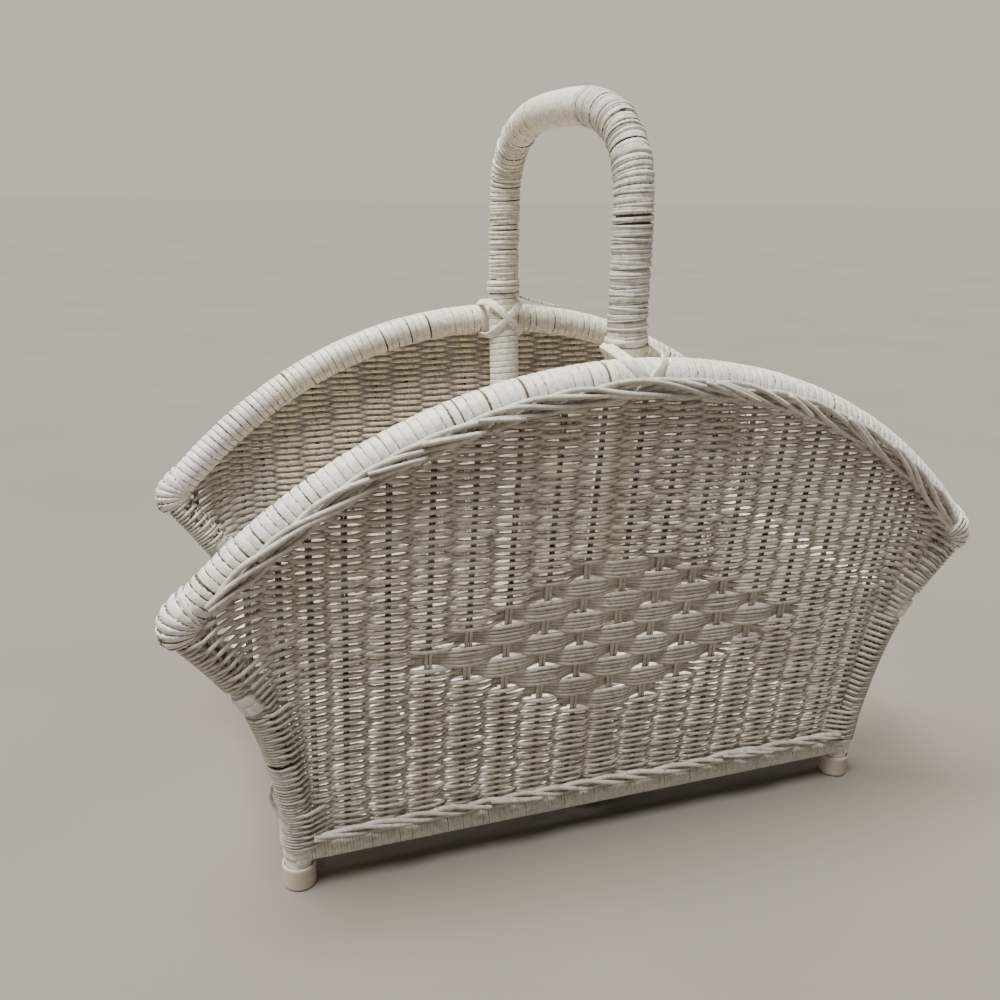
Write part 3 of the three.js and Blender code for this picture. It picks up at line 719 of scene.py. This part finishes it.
def base_braid(back):
    build = Build()
    height = BASE_RAIL + BRAID_RISE
    depth = WEAVE_OUT + math.tan(WEAVE_LEAN) * height + 3.5 + GAP + 2.6
    x = np.linspace(-FOOT_HALF + 9, FOOT_HALF - 9, 140)
    line = np.stack([x, np.full_like(x, -depth), np.full_like(x, height)], -1)
    line[:, 2] += wander(len(x), 22, 1.3)
    twist(build, line, back, strands=3, tall=3.0, thick=1.2, radius=1.65, lay=70.0, loose=4)
    return build


def rim(back):
    core = Build()
    line = to_world(rim_line(), back)
    core.tube(line, RIM_RADIUS - 1.0, RIM_RADIUS - 1.0, 20, BACKWARDS)
    strips = Build()
    strips.wind(line, RIM_RADIUS - 0.9, pitch=5.6, width=5.68, thickness=1.0, up=BACKWARDS,
                start=9, end=lengths_of(line)[-1] - 9, steps=22, section=FLAT, ragged=0.03,
                shift=0.15, tone_spread=0.45, lift=0.15, seams=0.6, blend=corner_share, flaked=0.38)
    return core, strips


# Where along a rim its turns lap like shingles: towards the corners
def corner_share(along):
    return np.clip((np.abs(along - 0.5) - 0.2) / 0.2, 0, 1)


# A straight rail and the cane wound round it
def rail(start, end, pitch, cover, lift):
    core, strips = Build(), Build()
    line = even(np.array([start, end], float), POLE_STEP)
    core.tube(line, RAIL_RADIUS - cover, RAIL_RADIUS - cover, 16, UPWARDS)
    strips.wind(line, RAIL_RADIUS - cover, pitch, width=pitch * 0.985, thickness=cover, up=UPWARDS,
                start=0.5, end=None, steps=14, section=FLAT, ragged=0.04, shift=0.06,
                tone_spread=0.35, lift=lift, seams=0.3, flaked=0.3)
    return core, strips


# A post is bare at its worn place, and its paint is thin above the cup and under the reeds
def post(side, back):
    build = Build()
    line = POST * np.array([side, 1, 1])
    height = POST[:, 2]
    ripple = 1 + wander(len(line), 3, 0.01)
    bare_place = np.clip(1 - np.abs(height - WORN_HEIGHT) / 3.5, 0, 1)
    above_cup = 0.35 * np.clip((FERRULE_HEIGHT + 3.5 - height) / 3, 0, 1)
    under_reeds = 0.5 * (np.abs(height - END_RAIL) > 12) * (height > BASE_RAIL + 18)
    worn = np.maximum(np.maximum(bare_place, above_cup), under_reeds)
    radius = POST_RADIUS * ripple - 0.3
    build.tube(to_world(line, back), radius, radius, 24, BACKWARDS, 0.5, worn[:, None])
    return build


# The smooth wrapped end of a post, between its cup and the lowest reeds
def foot_wrap(build, side, back):
    line = even(POST[(POST[:, 2] > FERRULE_HEIGHT + 1) & (POST[:, 2] < BASE_RAIL + 16)], 1.5)
    line = to_world(line * np.array([side, 1, 1]), back)
    build.wind(line, POST_RADIUS - 0.2, pitch=5.2, width=5.3, thickness=0.8, up=BACKWARDS,
               start=0.0, end=None, steps=22, section=FLAT, ragged=0.02, shift=0.05, tone_spread=0.2)


# A corner is covered by strips that fan out from its lower inner side, round the ends of the
# rim and the post
CAP_PIVOT = np.array([257.0, 206.5])
CAP_OUTLINE = np.array([
    (268.0, 230.0), (272.8, 226.2), (278.6, 220.4), (283.0, 214.0), (284.4, 207.0), (284.2, 200.0),
    (281.0, 193.8), (274.5, 193.2), (266.5, 196.5),
])
CAP_DEPTHS = np.array([12.9, 13.1, 13.0, 12.6, 12.2, 11.8, 11.0, 9.6, 7.5])
CAP_STRIPS = 8


def corner_cap(side, back):
    build = Build()
    count = 12 * CAP_STRIPS + 1
    share = np.linspace(0, 1, count)
    knots = np.linspace(0, 1, len(CAP_OUTLINE))
    edge = np.stack([np.interp(share, knots, column) for column in CAP_OUTLINE.T], -1)
    edge = smooth(edge, 10)
    depth = np.interp(share, knots, CAP_DEPTHS)
    lap = (share * CAP_STRIPS + wander(count, 10, 0.12)) % 1.0
    ridge = 0.95 + 0.07 * np.sin(np.pi * np.clip(lap * 1.1, 0, 1) ** 0.7) ** 0.5
    angle = 2 * np.pi * np.arange(30) / 30
    rings = []
    for index in range(count):
        way = edge[index] - CAP_PIVOT
        half = np.linalg.norm(way) / 2 * ridge[index]
        centre = CAP_PIVOT + unit(way) * half
        x = side * (centre[0] + unit(way)[0] * half * np.cos(angle))
        z = centre[1] + unit(way)[1] * half * np.cos(angle)
        rings.append(np.stack([x, depth[index] * ridge[index] * np.sin(angle), z], -1))
    rings = np.array(rings)
    tone = 0.55 + 0.35 * np.sin(np.floor(share * CAP_STRIPS) * 2.4)
    outer = np.clip((np.abs(rings[..., 0]) - 272) / 10, 0, 1)
    low = np.clip((212 - rings[..., 2]) / 10, 0, 1)
    seam = np.clip(1.3 - np.minimum(lap, 1 - lap) * 9, 0, 1)[:, None] * (0.58 + 0.2 * low)
    build.loft(to_world(rings, back), tone, np.maximum(0.56 * outer * low, seam))
    return build


# Bands of flat cane round a post where the end rail meets it
def rail_lashing(side, back):
    build = Build()
    line = POST[(POST[:, 2] > END_RAIL - 12) & (POST[:, 2] < END_RAIL + 12)] * np.array([side, 1, 1])
    line = even(to_world(line, back), 1.0)
    build.wind(line, POST_RADIUS + 1.1, pitch=7.4, width=7.5, thickness=1.3, up=BACKWARDS,
               start=0.5, end=None, steps=24, section=FLAT, ragged=0.03, shift=0.1)
    return build


# The section of a crossing strip: share of its width, share of its thickness
CROSS_SECTION = [
    (-0.5, -0.5), (-0.49, 0.3), (-0.38, 0.5), (0.0, 0.62), (0.38, 0.5), (0.49, 0.3), (0.5, -0.5),
]


# A strip's way aslant round the leg of the handle and the rim, and its own width's direction
def crossing_line(lean_side):
    points = []
    for quarter in range(4):
        start, radius = (LEG_INSET, HANDLE_RADIUS) if quarter < 2 else (0.0, RIM_RADIUS)
        shift = CROSS_WIDTH / 4 if quarter % 3 == 0 else -CROSS_WIDTH / 4
        wide = (radius + CROSS_SLACK) * math.sqrt(2) + CROSS_THICKNESS / 2
        deep = radius + GAP + CROSS_THICKNESS / 2
        for angle in np.linspace(0, math.pi / 2, 9) + quarter * math.pi / 2:
            points.append((shift + wide * math.cos(angle), start + deep * math.sin(angle)))
    flat = smooth(np.array(points), 2)
    turn = lean_side * math.pi / 4
    x = flat[:, 0] * math.cos(turn)
    z = RIM_TOP - flat[:, 0] * math.sin(turn)
    across = np.array([math.sin(turn), 0.0, math.cos(turn)])
    return np.stack([x, flat[:, 1], z], -1), across


# A thin loose end that lies along the rim beside the back crossing
LOOSE_END = even(np.array([(-11.5, 17, 357.5), (-30, 5, 352), (-60, 0, 346)], float), POLE_STEP)
LOOSE_END = smooth(LOOSE_END, 6)


def handle_lashing(back):
    build = Build()
    for lean_side in SIDES:
        line, across = crossing_line(lean_side)
        ahead = unit(np.roll(line, -1, 0) - np.roll(line, 1, 0))
        out = unit(np.cross(ahead, across))
        middle = np.array([0.0, LEG_INSET / 2, RIM_TOP])
        if ((line - middle) * out).sum() < 0:
            out = -out
        rings = np.stack([
            line + share * CROSS_WIDTH * across + rise * CROSS_THICKNESS * out
            for share, rise in CROSS_SECTION
        ], 1)
        build.loft(to_world(rings, back), tone=0.75, looped=True)
    if back:
        build.tube(to_world(LOOSE_END, back), 0.8, 0.8, 6, UPWARDS, 0.2, 0.42)
    return build


HANDLE = handle_line()
HANDLE_LENGTHS = lengths_of(HANDLE)
FRONT_HEIGHTS = HANDLE[:len(HANDLE) // 2, 2]
LEG_LENGTH = float(np.interp(WINDING_START, FRONT_HEIGHTS, HANDLE_LENGTHS[:len(FRONT_HEIGHTS)]))
COVER_START = LEG_LENGTH + WINDING_REACH + 0.8


# The handle's pole, and the cane round its feet and its top, between which the legs are wound
def handle():
    core, strips = Build(), Build()
    total = HANDLE_LENGTHS[-1]
    core.tube(HANDLE, POLE_RADIUS, POLE_RADIUS, 22, ALONG)
    inner = HANDLE_RADIUS - 0.6
    for start, end in ((0.5, LEG_LENGTH + 3.0), (total - LEG_LENGTH - 3.0, total - 0.5)):
        strips.wind(HANDLE, inner, pitch=5.0, width=5.0, thickness=0.6, up=ALONG, start=start,
                    end=end, steps=20, section=FLAT, ragged=0.04, shift=0.1, lift=0.15, seams=0.12)
    strips.wind(HANDLE, inner, pitch=2.9, width=3.05, thickness=0.6, up=ALONG,
                start=COVER_START - 2, end=total - COVER_START + 2, steps=20, section=ROUND,
                ragged=0.05, shift=0.05, tone_spread=0.25)
    return core, strips


# Each leg is wound unevenly: narrow round turns, thinner strips that run over them, and two thick
# turns where the winding begins
def handle_winding(back):
    build = Build()
    line = HANDLE[::-1] if back else HANDLE
    start = LEG_LENGTH - (1.0 if back else 12.5)
    end = COVER_START + 3.0
    # The front leg's wider seams and more darkened strip edges add painted shade
    seams = 0.7 if back else 1.25
    flaked = 0.3 if back else 0.42
    build.wind(line, POLE_RADIUS, pitch=3.8, width=3.95, thickness=1.8, up=ALONG, start=start,
               end=end, steps=22, section=ROUND, ragged=0.2, shift=0.5, tone_spread=0.5, lift=0.4,
               seams=seams, flaked=flaked)
    shoulder = start + 0.62 * (end - start)
    overlays = ((2.2, 1.2, shoulder), (1.4, 1.5, shoulder - 40), (1.5, 1.3, end - 4))
    for width, rise, reach in overlays:
        build.wind(line, POLE_RADIUS + 0.6, 5.1, width, rise, ALONG, start=start + 10, end=reach,
                   steps=22, section=FLAT, ragged=0.3, shift=1.7, tone_spread=0.5, lift=0.6,
                   flaked=0.45)
    build.wind(line, HANDLE_RADIUS - 0.4, pitch=4.6, width=4.5, thickness=2.0, up=ALONG,
               start=start - 1.5, end=start + 12.5, steps=24, section=ROUND, ragged=0.03, shift=0.1)
    return build


# A cup on a foot, turned from a profile of radius and height
def ferrule(x, y):
    build = Build()
    top = FERRULE_HEIGHT
    sides = 40
    profile = [(0.6, 2.4), (9.6, 2.4), (9.75, top - 0.6), (10.1, top), (10.7, top), (11.0, top - 0.4),
               (11.0, top - 2.6), (10.85, top - 3.2), (10.85, 2.2), (10.6, 0.8), (9.6, 0.05), (0.6, 0.0)]
    angle = 2 * np.pi * np.arange(sides) / sides
    rings = [
        np.stack([x + r * np.cos(angle), y + r * np.sin(angle), np.full(sides, z)], -1)
        for r, z in profile
    ]
    build.loft(rings)
    return build


# The floor: a mat of reeds on the base rails, woven over and under cross reeds. The rows beside
# the handle's legs stop short of them.
def floor_mat():
    build = Build()
    half_x, half_y = 207.0, 98.6
    rows = 42
    cross = np.linspace(-half_x + 6, half_x - 6, 19)
    leg = -float(to_world(np.array([0.0, LEG_INSET, FLOOR_MIDDLE]), False)[1])
    for row in range(rows):
        y = -half_y + 2.2 + (2 * half_y - 4.4) * row / (rows - 1)
        room = math.sqrt(max((HANDLE_RADIUS + 1.5) ** 2 - (abs(y) - leg) ** 2, 0.0))
        spans = [(-half_x, -room), (room, half_x)] if room else [(-half_x, half_x)]
        for low, high in spans:
            x = np.linspace(low, high, int((high - low) / 3.8))
            spot = (x - cross[0]) / (cross[1] - cross[0])
            z = FLOOR_MIDDLE + 1.35 * np.cos(np.pi * (spot + row))
            line = np.stack([x, y + wander(len(x), 9, 0.2), z], -1)
            build.tube(line, 1.5, 2.2, 7, UPWARDS, 0.4 + rng.uniform(-0.3, 0.3))
    for x in cross:
        y = np.linspace(-half_y, half_y, 8)
        line = np.stack([np.full_like(y, x), y, np.full_like(y, FLOOR_MIDDLE)], -1)
        build.tube(line, 1.4, 2.0, 8, UPWARDS, 0.4)
    return build


# A pole and the cane round it are two pieces that replace one node
def dress_pole(name, node, pole_and_cane):
    core, strips = pole_and_cane
    mesh_of(f"{name}_pole", core, bare, [node])
    mesh_of(f"{name}_cane", strips, cane, [node])


def dress_panel(back):
    place = "back" if back else "front"
    mesh_of(f"{place}_woven_panel", weave(back), reed, [f"{place}_weave"])
    for column in range(DIAMOND_STAKES):
        build = Build()
        add_stake(build, (column - LAST_COLUMN) * STAKE_PITCH, back)
        node = f"{place}_stake_{column + 1}"
        mesh_of(f"{place}_stake_pair_{column + 1}", build, reed, [node])
    mesh_of(f"{place}_rim_plait", rim_braid(back), reed, [f"{place}_rim_braid"])
    mesh_of(f"{place}_base_plait", base_braid(back), reed, [f"{place}_base_braid"])
    dress_pole(f"{place}_rim", f"{place}_rim", rim(back))
    ends = to_world(np.array([(-FOOT_HALF, 0, BASE_RAIL), (FOOT_HALF, 0, BASE_RAIL)]), back)
    dress_pole(f"{place}_base", f"{place}_base_rail", rail(*ends, pitch=2.1, cover=0.35, lift=0.0))
    mesh_of(f"{place}_crossing", handle_lashing(back), cane, [f"{place}_handle_lashing"])
    # The front leg's winding takes the darker copy of the cane: painted shade
    winding = cane if back else shaded_leg_cane
    node = f"{place}_handle_winding"
    mesh_of(f"{place}_leg_winding", handle_winding(back), winding, [node])
    for side in SIDES:
        end = "left" if (side < 0) != back else "right"
        corner = f"{place}_{end}"
        pole = post(side, back)
        foot_wrap(pole, side, back)
        mesh_of(f"{corner}_pole", pole, cane, [f"{corner}_post"])
        mesh_of(f"{corner}_fan", corner_cap(side, back), cane, [f"{corner}_corner_cap"])
        band = rail_lashing(side, back)
        mesh_of(f"{corner}_band", band, cane, [f"{corner}_rail_lashing"])
        foot = to_world(POST[0] * np.array([side, 1, 1]), back)
        cup = ferrule(foot[0], foot[1])
        mesh_of(f"{corner}_cup", cup, cream, [f"{corner}_ferrule"])


def dress_ends():
    for side in SIDES:
        end = "left" if side < 0 else "right"
        mirror = np.array([1, -1, 1])
        low = to_world(np.array([side * FOOT_HALF, 0.0, BASE_RAIL]), False)
        base = rail(low, low * mirror, pitch=2.1, cover=0.35, lift=0.0)
        dress_pole(f"{end}_base", f"{end}_base_rail", base)
        high = to_world(np.array([side * float(post_x(END_RAIL)), 0.0, END_RAIL]), False)
        middle = rail(high, high * mirror, pitch=5.4, cover=0.8, lift=0.15)
        dress_pole(f"{end}_end", f"{end}_end_rail", middle)


for is_back in (False, True):
    dress_panel(is_back)
dress_ends()
dress_pole("handle", "handle", handle())
mesh_of("floor_mat", floor_mat(), mat_reed, ["floor"])


# Stage, light and camera, in metres
STAGE_HALF = 25
STAGE_PALE = (0.205, 0.188, 0.164)
STAGE_DARK = (0.19, 0.175, 0.153)
ROOM_NEAR = (0.12, 0.108, 0.094, 1.0)
ROOM_FAR = (0.68, 0.60, 0.51, 1.0)
EYE = (-0.26283, -0.63789, 0.44301)
VIEW_AHEAD = (0.31361, 0.89611, -0.31406)
VIEW_DOWN = (-0.0871, -0.302, -0.9489)
LENS_WIDTH = 36.0
LENS_LENGTH = 34.22


def stage_floor():
    look = Look("stage_floor")
    shade = look.between(look.noise(3.0, 2.0), 0.3, 0.7)
    colour = look.mix(shade, STAGE_PALE, STAGE_DARK)
    look.tree.links.new(colour, look.shader.inputs["Base Color"])
    look.shader.inputs["Roughness"].default_value = 0.9
    mesh = bpy.data.meshes.new("stage_floor")
    corners = [(x * STAGE_HALF, y * STAGE_HALF, 0) for x, y in ((-1, -1), (1, -1), (1, 1), (-1, 1))]
    mesh.from_pydata(corners, [], [(0, 1, 2, 3)])
    mesh.materials.append(look.material)
    ground = bpy.data.objects.new("stage_floor", mesh)
    bpy.context.scene.collection.objects.link(ground)


def ceiling_light(direction, spread, strength, colour):
    light = bpy.data.lights.new("ceiling", "SUN")
    light.angle = math.radians(spread)
    light.energy = strength
    light.color = colour
    lamp = bpy.data.objects.new("ceiling", light)
    lamp.rotation_mode = "QUATERNION"
    lamp.rotation_quaternion = Vector(direction).to_track_quat("-Z", "Y")
    bpy.context.scene.collection.objects.link(lamp)


# A pale room that is darker in front of the basket, so its front lies in shade
def surroundings():
    world = bpy.data.worlds.new("soft_room")
    world.use_nodes = True
    tree = world.node_tree
    place = tree.nodes.new("ShaderNodeTexCoord")
    parts = tree.nodes.new("ShaderNodeSeparateXYZ")
    tree.links.new(place.outputs["Generated"], parts.inputs[0])
    share = tree.nodes.new("ShaderNodeMapRange")
    share.interpolation_type = "SMOOTHSTEP"
    share.inputs["From Min"].default_value = -0.1
    share.inputs["From Max"].default_value = 0.35
    tree.links.new(parts.outputs["Y"], share.inputs["Value"])
    blend = tree.nodes.new("ShaderNodeMix")
    blend.data_type = "RGBA"
    sockets = [socket for socket in blend.inputs if socket.enabled]
    tree.links.new(share.outputs["Result"], sockets[0])
    sockets[1].default_value = ROOM_NEAR
    sockets[2].default_value = ROOM_FAR
    colour = next(socket for socket in blend.outputs if socket.enabled)
    tree.links.new(colour, tree.nodes["Background"].inputs["Color"])
    bpy.context.scene.world = world


def camera():
    lens = bpy.data.cameras.new("camera")
    lens.sensor_width = LENS_WIDTH
    lens.lens = LENS_LENGTH
    lens.clip_start = 0.01
    eye = bpy.data.objects.new("camera", lens)
    ahead = Vector(VIEW_AHEAD).normalized()
    right = Vector(VIEW_DOWN).cross(ahead).normalized()
    above = right.cross(ahead).normalized()
    turn = Matrix((right, above, -ahead)).transposed().to_4x4()
    eye.matrix_world = Matrix.Translation(EYE) @ turn
    bpy.context.scene.collection.objects.link(eye)
    bpy.context.scene.camera = eye


stage_floor()
surroundings()
ceiling_light(direction=(0.28, 0.08, -1.0), spread=34, strength=8.4, colour=(1.0, 0.965, 0.91))
camera()
